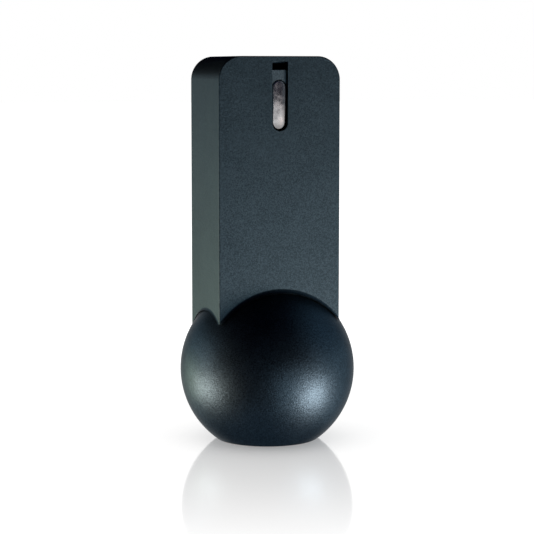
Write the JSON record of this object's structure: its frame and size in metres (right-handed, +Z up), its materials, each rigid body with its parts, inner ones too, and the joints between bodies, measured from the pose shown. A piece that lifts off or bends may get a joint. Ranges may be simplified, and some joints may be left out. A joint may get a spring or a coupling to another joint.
{
  "type": "trackball mouse",
  "caption": "Cordless trackball mouse: an upright rectangular grip with a sliding, clicking thumb key in a slot, standing on a large weighted ball that rolls in its lower end.",
  "frame": {"origin": "centre of the flat foot under the ball, on the surface that the mouse stands on", "axes": "+Z up along the handle; the front face with the thumb key looks along -Y; +X is to the right seen from the front"},
  "size_m": [0.0572, 0.0572, 0.1255],
  "materials": {
    "anodised": "dark graphite bead-blasted anodising, fine grain, satin",
    "coated_plastic": "dark graphite fine matte coat",
    "ball_coat": "dark graphite satin coat, finer than the handle's",
    "satin_steel": "satin steel with a soft crown",
    "dark_plastic": "moulded black plastic",
    "grey_plastic": "moulded grey plastic",
    "ceramic": "polished white ceramic",
    "nickel": "nickel plate",
    "zinc_steel": "zinc-plated steel",
    "black_screw": "black oxide steel",
    "clear_lens": "clear moulded lens",
    "black_chip": "black chip package",
    "board": "green solder mask",
    "cell_wrap": "plain blue shrink sleeve",
    "spring_brass": "sprung brass strip",
    "resin": "cast resin",
    "rubber": "soft black rubber"
  },
  "bodies": {
    "handle": {"housing": "anodised", "rear_cover": "coated_plastic", "cover_screw_1": "black_screw", "cover_screw_2": "black_screw", "cover_screw_3": "black_screw", "cover_screw_4": "black_screw", "socket_cup": "dark_plastic", "cup_screw_1": "zinc_steel", "cup_screw_2": "zinc_steel", "bearing_bead_1": "ceramic", "bearing_bead_2": "ceramic", "bearing_bead_3": "ceramic", "cup_magnet": "nickel", "magnet_keeper": "zinc_steel", "sensor_lens": "clear_lens", "sensor_chip": "black_chip", "sensor_board": "board", "main_board": "board", "processor_chip": "black_chip", "radio_module": "nickel", "board_screw_1": "zinc_steel", "board_screw_2": "zinc_steel", "board_screw_3": "zinc_steel", "board_screw_4": "zinc_steel", "battery_tray": "dark_plastic", "battery_cell": "cell_wrap", "battery_leaf": "spring_brass", "battery_contact": "spring_brass", "key_guide": "grey_plastic", "guide_screw_1": "zinc_steel", "guide_screw_2": "zinc_steel", "power_switch_body": "nickel"},
    "carriage": {"key_carriage": "coated_plastic", "switch_board": "board", "click_switch": "black_chip", "power_switch_knob": "dark_plastic"},
    "key": {"thumb_key": "satin_steel"},
    "plunger": {"switch_plunger": "grey_plastic"},
    "core": {"ball_core": "zinc_steel"},
    "ball": {"ball_shell": "ball_coat", "ball_liner": "nickel", "ball_filler": "resin", "core_retainer": "resin", "foot_plate": "zinc_steel", "foot_pad": "rubber"}
  },
  "joints": [
    {"name": "carriage_slide", "type": "slide", "parent": "handle", "child": "carriage", "axis": [0, 0, 1], "range_m": [0, 0.0022]},
    {"name": "key_press", "type": "slide", "parent": "carriage", "child": "key", "axis": [0, 1, 0], "range_m": [0, 0.0005], "stiffness_N_per_m": 2500, "springref_m": -0.0001},
    {"name": "plunger_press", "type": "slide", "parent": "carriage", "child": "plunger", "axis": [0, 1, 0], "range_m": [0, 0.0005]},
    {"name": "ball_roll_x", "type": "hinge", "parent": "handle", "child": "core", "pos_m": [0, 0, 0.0236], "axis": [1, 0, 0], "continuous": true},
    {"name": "ball_roll_y", "type": "hinge", "parent": "core", "child": "ball", "pos_m": [0, 0, 0.0236], "axis": [0, 1, 0], "continuous": true}
  ],
  "couplings": [
    {"joint": "plunger_press", "follows": "key_press", "ratio": 1}
  ]
}
